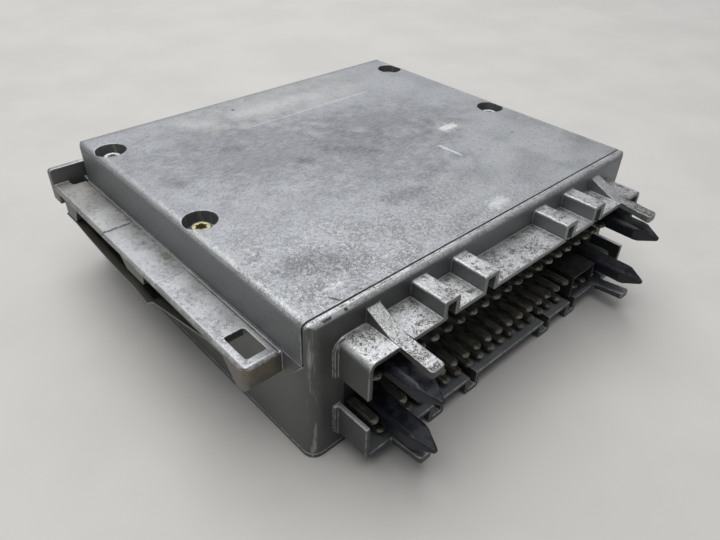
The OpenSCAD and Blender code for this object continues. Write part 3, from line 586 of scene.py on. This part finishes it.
        # Painted light: the upright face under the front wall's rounded top edge is painted paler, standing
        # in for the light on that edge.
        ledge = y.step(-65 * MM, -66.5 * MM) * z.step(33 * MM, 38 * MM) * x.step(-60 * MM, -5 * MM)
        color = graph.blend(ledge * (1.0 - up) * 0.7, color, self.painted_ledge_light)
        soiled = (brown + y.step(-77 * MM, -83 * MM) * 0.13).step(0.46, 0.70)
        hood = coarse * (1.0 - rails) * soiled * up * 0.42
        color = graph.blend(hood, color, self.stain)
        beside = x.size().step(81.5 * MM, 77 * MM) * y.step(-32 * MM, -8 * MM) * up
        color = graph.blend(beside * brown.step(0.45, 0.66) * 0.6, color, self.stain)
        feet = outboard * y.step(-46 * MM, -54 * MM) * (1.0 - up)
        color = graph.blend(feet * (0.25 + 0.55 * brown.step(0.40, 0.62)), color, self.stain)
        # Painted shade over the hood's lower half, leaving out the finger tips.
        low = y.step(FRONT_WALL_Y, -67.5 * MM) * z.step(17 * MM, 12 * MM) * y.step(-89 * MM, -84 * MM)
        return graph.blend(low * 0.55, color, self.shade)

    def _add_marks(self, graph: Graph, color: Any, up: Value) -> Any:
        """Lays smudges, the film and veils at the back, painted shade along the back edge and scuffs over
        the lid.

        Args:
            graph: Graph that the nodes go into.
            color: Colour under the marks.
            up: Share that faces up.

        Returns:
            The colour with its marks.
        """
        x, y, _ = graph.axes()
        ragged = graph.noise(7 * MM, 5.0, 0.68)
        rubs = graph.noise(1.6 * MM, 4.0, 0.7, (0.5, 1.6, 1.0)).step(0.36, 0.60)
        scratchy = graph.noise(2.4 * MM, 4.0, 0.72, (1.0, 2.2, 1.0))
        for smudge in self.smudges:
            outline = ragged if smudge.radius > BROAD_MARK_MM else scratchy
            share = smudge.mask(graph, outline) * (0.45 + 0.55 * rubs) * up
            color = graph.blend(share, color, self.smudge)
        film = y.step(36.2 * MM, 37.4 * MM) * x.step(-46 * MM, -22 * MM) * x.step(56 * MM, 38 * MM)
        patchy = (0.4 + 0.6 * rubs) * up
        color = graph.blend(film * ragged.step(0.36, 0.62) * patchy * 0.45, color, self.film)
        for veil in self.veils:
            color = graph.blend(veil.mask(graph, ragged) * patchy, color, self.veil)
        # Painted shade: the strip along the back edge is darkened with the smudge colour, standing in for
        # its rounding that faces away from the light.
        color = graph.blend(y.step(61.5 * MM, BACK_EDGE_Y) * up * 0.42, color, self.smudge)
        for scuff in self.scuffs:
            color = graph.blend(scuff.mask(graph, scratchy) * up, color, self.scuff)
        return color


@dataclass(frozen=True)
class YellowZinc:
    """Yellow zinc plating, dulled in places, with painted shade in its recesses."""

    yellow: Color = (0.43, 0.39, 0.23)
    pale: Color = (0.72, 0.72, 0.70)
    brown: Color = (0.22, 0.18, 0.13)
    painted_recess_shade: Color = (0.06, 0.052, 0.04)

    def build(self) -> bpy.types.Material:
        """Returns the finished material."""
        graph = Graph("yellow_zinc")
        blotch = graph.noise(2.2 * MM, 3.0)
        corner = graph.hollows(1.2 * MM)
        x, y, _ = graph.axes()
        front = y.step(20 * MM, 0.0)
        left = x.step(10 * MM, -10 * MM)
        color = graph.blend(front * left, self.pale, self.yellow)
        color = graph.blend((1.0 - front) * (1.0 - left) * 0.85, color, self.brown)
        # Painted shade: the screw heads' recesses within 1.2 mm are darkened.
        color = graph.blend(corner.step(0.25, 0.65) * 0.92, color, self.painted_recess_shade)
        return graph.finish({
            "Base Color": color,
            "Metallic": 0.9,
            "Roughness": 0.30 + 0.2 * blotch,
            "Normal": graph.bump(graph.noise(0.35 * MM), 0.03 * MM, 0.5),
        })


@dataclass(frozen=True)
class TarnishedContact:
    """Plated blades, dark with tarnish, with a painted highlight on their tips."""

    tip_y: float
    edge: bool = False
    highlight_length: float = 1.8 * MM
    tarnish: Color = (0.100, 0.096, 0.080)
    olive: Color = (0.205, 0.198, 0.165)
    painted_tip_highlight: Color = (0.290, 0.282, 0.245)
    # rubbed is the brighter painted highlight on the tips' edge faces.
    rubbed: Color = (0.420, 0.412, 0.360)

    def build(self) -> bpy.types.Material:
        """Returns the finished material."""
        graph = Graph(f"contact_metal{'_edge' if self.edge else ''}")
        _, y, _ = graph.axes()
        streak = graph.noise(1.1 * MM, 3.0, 0.6, (1.0, 0.25, 1.0))
        # Painted highlight: the tips are painted bright, standing in for the glint on their rounded noses.
        highlight_share = (y - self.tip_y).step(self.highlight_length, 0.2 * MM) * streak.step(0.36, 0.6)
        color = graph.blend(streak.step(0.4, 0.65), self.tarnish, self.olive)
        color = graph.blend(highlight_share * 0.75, color, self.rubbed if self.edge else self.painted_tip_highlight)
        return graph.finish({
            "Base Color": color,
            "Metallic": 0.6,
            "Roughness": 0.46 - 0.12 * highlight_share + 0.2 * (streak - 0.5),
            "Normal": graph.bump(streak, 0.03 * MM, 0.6),
        })


@dataclass(frozen=True)
class MouldedPlastic:
    """Moulded plastic with fine skin texture and a dusting on its upper faces."""

    name: str
    base: Color
    dust: Color
    roughness: float
    dusting: float

    def build(self) -> bpy.types.Material:
        """Returns the finished material."""
        graph = Graph(self.name)
        _, _, facing_z = graph.facing()
        cloud = graph.noise(3.5 * MM, 4.0, 0.65)
        skin = graph.noise(0.4 * MM, 2.0)
        specks = graph.noise(0.9 * MM, 2.0).step(0.66, 0.72)
        dusty = facing_z.step(0.1, 0.9) * cloud.step(0.40, 0.68) * self.dusting
        color = graph.blend(dusty, self.base, self.dust)
        color = graph.blend(specks * facing_z.step(-0.2, 0.6) * self.dusting, color, self.dust)
        return graph.finish({
            "Base Color": color,
            "Roughness": self.roughness + 0.25 * dusty + 0.12 * (cloud - 0.5),
            "Normal": graph.bump(skin, 0.03 * MM, 0.5),
        })


@dataclass(frozen=True)
class RolledSteel:
    """Rolled or plated steel with streaks along the strip, and painted light on its outer band and its
    sides where a colour for it is given.
    """

    name: str
    base: Color
    streak: Color
    roughness: float
    painted_edge_light: Color | None = None
    light_band_x: float = 83.2 * MM
    light_band_blend: float = 0.7 * MM

    def build(self) -> bpy.types.Material:
        """Returns the finished material."""
        graph = Graph(self.name)
        lines = graph.noise(0.8 * MM, 3.0, 0.6, (1.0, 0.12, 1.0))
        stain = graph.noise(9 * MM, 3.0)
        color = graph.blend((lines * 0.6 + stain * 0.4).step(0.4, 0.62), self.base, self.streak)
        if self.painted_edge_light is not None:
            x, _, _ = graph.axes()
            facing_x, _, _ = graph.facing()
            # Painted light: the strip's outer band and its sides are painted paler, standing in for the
            # light they catch beside the rail's shadow.
            rim = x.size().step(self.light_band_x, self.light_band_x + self.light_band_blend)
            color = graph.blend(rim.largest(facing_x.size().step(0.45, 0.80)), color, self.painted_edge_light)
        return graph.finish({
            "Base Color": color,
            "Metallic": 0.85,
            "Roughness": self.roughness + 0.3 * (stain - 0.5),
            "Normal": graph.bump(lines, 0.02 * MM, 0.5),
        })


@dataclass(frozen=True)
class BoardResist:
    """Solder resist over glass fibre, with faint tracks."""

    resist: Color = (0.020, 0.095, 0.045)
    track: Color = (0.050, 0.170, 0.080)

    def build(self) -> bpy.types.Material:
        """Returns the finished material."""
        graph = Graph("board")
        tracks = graph.noise(2.4 * MM, 1.0, 0.4, (1.0, 0.3, 1.0))
        lines = ((tracks * 12.0) - 6.0).size().step(0.45, 0.25)
        return graph.finish({
            "Base Color": graph.blend(lines * 0.8, self.resist, self.track),
            "Roughness": 0.35 + 0.2 * lines,
            "Normal": graph.bump(lines, 0.03 * MM, 0.6),
        })


@dataclass
class Softening:
    """Rounding of a solid's sharp edges, made by modifiers on its own object."""

    width: float
    segments: int = 2
    angle_deg: float = 38.0
    edge_slot: int = -1
    weld_reach: float = 0.004 * MM

    def add(self, piece: bpy.types.Object) -> None:
        """Adds the modifiers.

        Args:
            piece: Object of a CAD node.
        """
        weld = piece.modifiers.new("weld", "WELD")
        weld.merge_threshold = self.weld_reach
        bevel = piece.modifiers.new("bevel", "BEVEL")
        bevel.width = self.width
        bevel.segments = self.segments
        bevel.limit_method = "ANGLE"
        bevel.angle_limit = math.radians(self.angle_deg)
        bevel.use_clamp_overlap = False
        bevel.loop_slide = False
        bevel.material = self.edge_slot
        piece.modifiers.new("normals", "WEIGHTED_NORMAL")


def dress(node: str, *materials: bpy.types.Material) -> bpy.types.Object:
    """Gives a CAD node its materials.

    Args:
        node: Name of the node.
        materials: Its materials; faces use the first.

    Returns:
        The node's object.
    """
    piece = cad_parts[node]
    piece.data.materials.clear()
    for material in materials:
        piece.data.materials.append(material)
    LOG.info("dressed %s with %s", node, ", ".join(m.name for m in materials))
    return piece


@dataclass
class Housing:
    """Frame casting, lid, bottom cover and their screws."""

    frame_edge: float = 0.30 * MM
    lid_edge: float = 0.32 * MM
    cover_edge: float = 0.40 * MM
    screw_edge: float = 0.18 * MM

    frame_skin: CastAluminium = CastAluminium(
        CastPart.FRAME, (0.560, 0.570, 0.587), (0.430, 0.438, 0.452),
        (Mark((-69.9, -65.8), (-67.3, -66.0), 0.5, 0.9), Mark((-62.8, -65.9), (-62.3, -65.9), 0.45, 0.9),
         # The four strokes at y -9.15 mm and 26.2 mm are painted shade along the steps at the rail pads'
         # ends.
         Mark((-86.3, -9.15), (-77.0, -9.15), 0.5, 0.65), Mark((-86.3, 26.2), (-77.0, 26.2), 0.5, 0.8),
         Mark((77.0, -9.15), (86.3, -9.15), 0.5, 0.65), Mark((77.0, 26.2), (86.3, 26.2), 0.5, 0.8)))
    lid_skin: CastAluminium = CastAluminium(
        CastPart.LID, (0.412, 0.421, 0.441), (0.345, 0.353, 0.373),
        (Mark((-63.1, -60.5), (-61.7, -62.8), 0.6, 0.8), Mark((-16.0, 55.2), (-16.0, 55.2), 0.9, 0.9),
         Mark((-6.6, 60.7), (-6.6, 60.7), 0.8, 0.8), Mark((54.9, -29.4), (54.9, -29.4), 0.8, 0.8)),
        # The lid's own painted shade for its upright faces and painted light for its flanks.
        upright=(0.200, 0.207, 0.212), painted_flank_light=(0.245, 0.255, 0.262))
    cover_skin: CastAluminium = CastAluminium(CastPart.COVER, (0.400, 0.411, 0.434), (0.285, 0.294, 0.314))

    def build(self) -> None:
        """Dresses the castings and the screws."""
        castings = (
            ("frame_casting", self.frame_skin, self.frame_edge),
            ("lid", self.lid_skin, self.lid_edge),
            ("bottom_cover", self.cover_skin, self.cover_edge),
        )
        for node, skin, width in castings:
            piece = dress(node, skin.build(), replace(skin, edge=True).build())
            Softening(width, edge_slot=1).add(piece)
        zinc = YellowZinc().build()
        for node in ("lid_screws", "cover_screws"):
            Softening(self.screw_edge).add(dress(node, zinc))


@dataclass
class Connector:
    """Header, contact blades and guide pegs."""

    blade_edge: float = 0.16 * MM
    peg_edge: float = 0.55 * MM
    header_edge: float = 0.14 * MM

    def build(self) -> None:
        """Dresses the header, the blades and the pegs."""
        header = MouldedPlastic(
            "header_plastic", (0.018, 0.018, 0.019), (0.095, 0.091, 0.082), roughness=0.5, dusting=0.40)
        Softening(self.header_edge).add(dress("pin_header", header.build()))
        tip_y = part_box("contact_pins_upper")[0].y
        blades = TarnishedContact(tip_y).build()
        blade_edges = TarnishedContact(tip_y, edge=True).build()
        for node in ("contact_pins_upper", "contact_pins_lower"):
            Softening(self.blade_edge, edge_slot=1).add(dress(node, blades, blade_edges))
        peg_skin = MouldedPlastic(
            "peg_plastic", (0.0060, 0.0070, 0.0140), (0.085, 0.090, 0.102), roughness=0.40, dusting=0.50)
        peg = peg_skin.build()
        for height in ("upper", "lower"):
            for side in ("left", "right"):
                piece = dress(f"guide_peg_{height}_{side}", peg)
                Softening(self.peg_edge, segments=3, angle_deg=20.0).add(piece)


@dataclass
class Springs:
    """Leaf springs under the rails."""

    edge: float = 0.12 * MM

    def build(self) -> None:
        """Dresses both springs."""
        steel = RolledSteel(
            "spring_steel", (0.060, 0.057, 0.045), (0.125, 0.118, 0.095), roughness=0.42,
            painted_edge_light=(0.22, 0.212, 0.185))
        strip = steel.build()
        for side in ("left", "right"):
            Softening(self.edge).add(dress(f"leaf_spring_{side}", strip))


@dataclass
class Electronics:
    """Boards, chips and power parts inside the housing."""

    edge: float = 0.12 * MM

    def build(self) -> None:
        """Dresses the pieces inside."""
        plated = RolledSteel("plain_steel", (0.42, 0.42, 0.43), (0.58, 0.58, 0.58), roughness=0.34).build()
        strip = RolledSteel("clamp_steel", (0.30, 0.30, 0.29), (0.45, 0.45, 0.43), roughness=0.4).build()
        chip = MouldedPlastic(
            "chip_plastic", (0.012, 0.012, 0.013), (0.05, 0.05, 0.05), roughness=0.55, dusting=0.3).build()
        socket = MouldedPlastic(
            "socket_plastic", (0.02, 0.02, 0.021), (0.06, 0.06, 0.06), roughness=0.5, dusting=0.3).build()
        sleeve = MouldedPlastic(
            "sleeve_plastic", (0.010, 0.014, 0.060), (0.08, 0.08, 0.10), roughness=0.3, dusting=0.2).build()
        link = MouldedPlastic(
            "link_plastic", (0.42, 0.42, 0.41), (0.55, 0.54, 0.52), roughness=0.5, dusting=0.3).build()
        board = BoardResist().build()
        finishes = {
            "upper_board": board, "lower_board": board,
            "upper_board_screws": plated, "lower_board_screws": plated, "clamp_screws": plated,
            "crystal": plated, "transistor_clamp": strip, "ribbon_link": link,
            "microcontroller": chip, "program_memory": chip, "support_chips": chip,
            "power_transistors": chip, "memory_socket": socket, "electrolytic_capacitors": sleeve,
        }
        for node, material in finishes.items():
            Softening(self.edge, segments=1).add(dress(node, material))


@dataclass(frozen=True)
class Lamp:
    """Square soft lamp that faces the unit; lengths in metres, power in watts."""

    name: str
    place: Triple
    size: float
    power: float
    color: Color

    def add(self) -> None:
        """Adds the lamp to the scene."""
        light = bpy.data.lights.new(self.name, "AREA")
        light.size = self.size
        light.energy = self.power
        light.color = self.color
        lamp = bpy.data.objects.new(self.name, light)
        lamp.location = self.place
        lamp.rotation_mode = "QUATERNION"
        lamp.rotation_quaternion = (-Vector(self.place)).to_track_quat("-Z", "Y")
        bpy.context.scene.collection.objects.link(lamp)


@dataclass
class Studio:
    """Floor, soft lights and the camera at the photograph's viewing angle."""

    eye_mm: Triple = (-139.64, -151.44, 147.27)
    yaw_deg: float = 43.61
    pitch_deg: float = 36.75
    roll_deg: float = 1.9
    focal_px: float = 615.48
    sensor_mm: float = 36.0
    clip_start: float = 0.01
    floor_size: float = 6.0
    floor_grain: float = 60 * MM
    floor_shade: float = 0.94
    floor_color: Color = (0.66, 0.645, 0.620)
    sky: Color = (0.86, 0.90, 0.95)
    sky_strength: float = 0.16
    lamps: tuple[Lamp, ...] = (
        Lamp("ceiling", (-0.15, 0.08, 1.35), 1.5, 15.5, (1.0, 0.995, 0.985)),
        Lamp("window", (0.50, 0.75, 1.05), 1.1, 7.0, (0.97, 0.985, 1.0)),
    )

    def build(self) -> None:
        """Makes the floor, the lights and the camera."""
        self._floor()
        self._sky()
        for lamp in self.lamps:
            lamp.add()
        self._camera()

    def _floor(self) -> None:
        """Makes a plain pale floor under the unit."""
        half = self.floor_size / 2
        mesh = bpy.data.meshes.new("floor")
        corners = [(-half, -half, 0), (half, -half, 0), (half, half, 0), (-half, half, 0)]
        mesh.from_pydata(corners, [], [(0, 1, 2, 3)])
        graph = Graph("floor")
        grain = graph.noise(self.floor_grain, 3.0)
        darker = tuple(self.floor_shade * part for part in self.floor_color)
        mesh.materials.append(graph.finish({
            "Base Color": graph.blend(grain.step(0.35, 0.65), darker, self.floor_color),
            "Roughness": 0.7,
        }))
        floor = bpy.data.objects.new("floor", mesh)
        bpy.context.scene.collection.objects.link(floor)

    def _sky(self) -> None:
        """Sets an even sky."""
        world = bpy.data.worlds.new("studio")
        world.use_nodes = True
        background = world.node_tree.nodes["Background"]
        background.inputs["Color"].default_value = (*self.sky, 1.0)
        background.inputs["Strength"].default_value = self.sky_strength
        bpy.context.scene.world = world

    def _camera(self) -> None:
        """Makes the camera from its place, its angles and its focal length."""
        yaw, pitch, roll = (math.radians(a) for a in (self.yaw_deg, self.pitch_deg, self.roll_deg))
        ahead = math.cos(pitch)
        forward = Vector((math.sin(yaw) * ahead, math.cos(yaw) * ahead, -math.sin(pitch)))
        level = Vector((math.cos(yaw), -math.sin(yaw), 0.0))
        upright = level.cross(forward)
        right = math.cos(roll) * level + math.sin(roll) * upright
        above = -math.sin(roll) * level + math.cos(roll) * upright
        lens = bpy.data.cameras.new("camera")
        lens.sensor_width = self.sensor_mm
        lens.lens = self.focal_px * self.sensor_mm / IMAGE_WIDTH_PX
        lens.clip_start = self.clip_start
        camera = bpy.data.objects.new("camera", lens)
        turn = Matrix((right, above, -forward)).transposed().to_4x4()
        camera.matrix_world = Matrix.Translation(Vector(self.eye_mm) * MM) @ turn
        bpy.context.scene.collection.objects.link(camera)
        bpy.context.scene.camera = camera


def main() -> None:
    """Builds every sub-assembly's looks and the studio."""
    logging.basicConfig(level=logging.INFO)
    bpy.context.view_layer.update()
    for assembly in (Housing(), Connector(), Springs(), Electronics(), Studio()):
        assembly.build()
        LOG.info("built %s", type(assembly).__name__)
    bpy.context.scene.view_settings.view_transform = "Standard"


if __name__ == "__main__":
    main()
